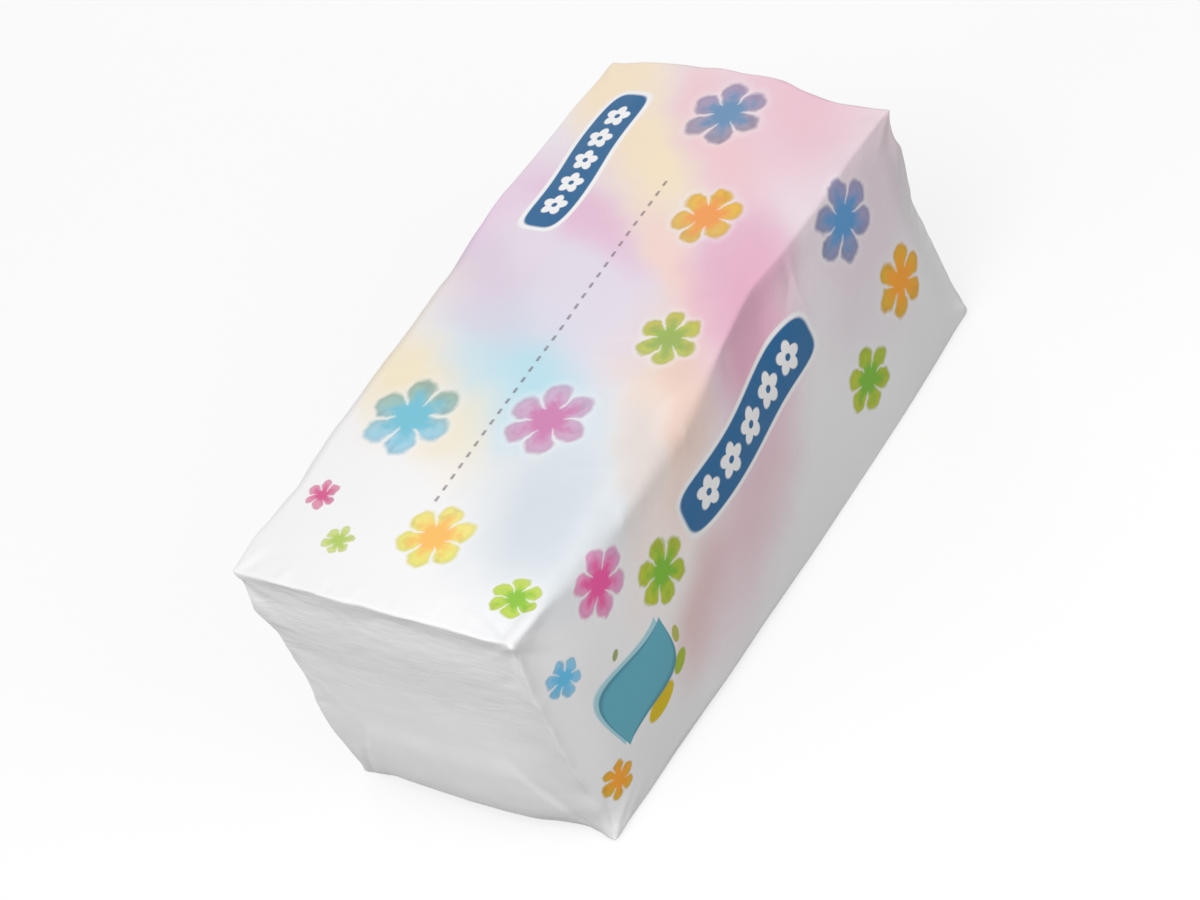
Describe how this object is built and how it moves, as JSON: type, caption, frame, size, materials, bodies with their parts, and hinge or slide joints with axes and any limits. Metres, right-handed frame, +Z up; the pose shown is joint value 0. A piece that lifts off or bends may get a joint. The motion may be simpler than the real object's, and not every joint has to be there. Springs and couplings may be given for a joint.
{
  "type": "tissue soft pack",
  "caption": "Sealed soft pack of facial tissues in printed film, with creased corners, soft long edges, a mitred fold on each end and a tear line of slits along the top.",
  "frame": {"origin": "middle of the base, on the plane the pack stands on", "axes": "+Z up through the top with the tear line, +X along the pack towards the end with the longer creases"},
  "size_m": [0.214, 0.1102, 0.091],
  "materials": {
    "printed_film": "satin printed film"
  },
  "bodies": {
    "root": {"tissue_pack": "printed_film"}
  },
  "joints": []
}
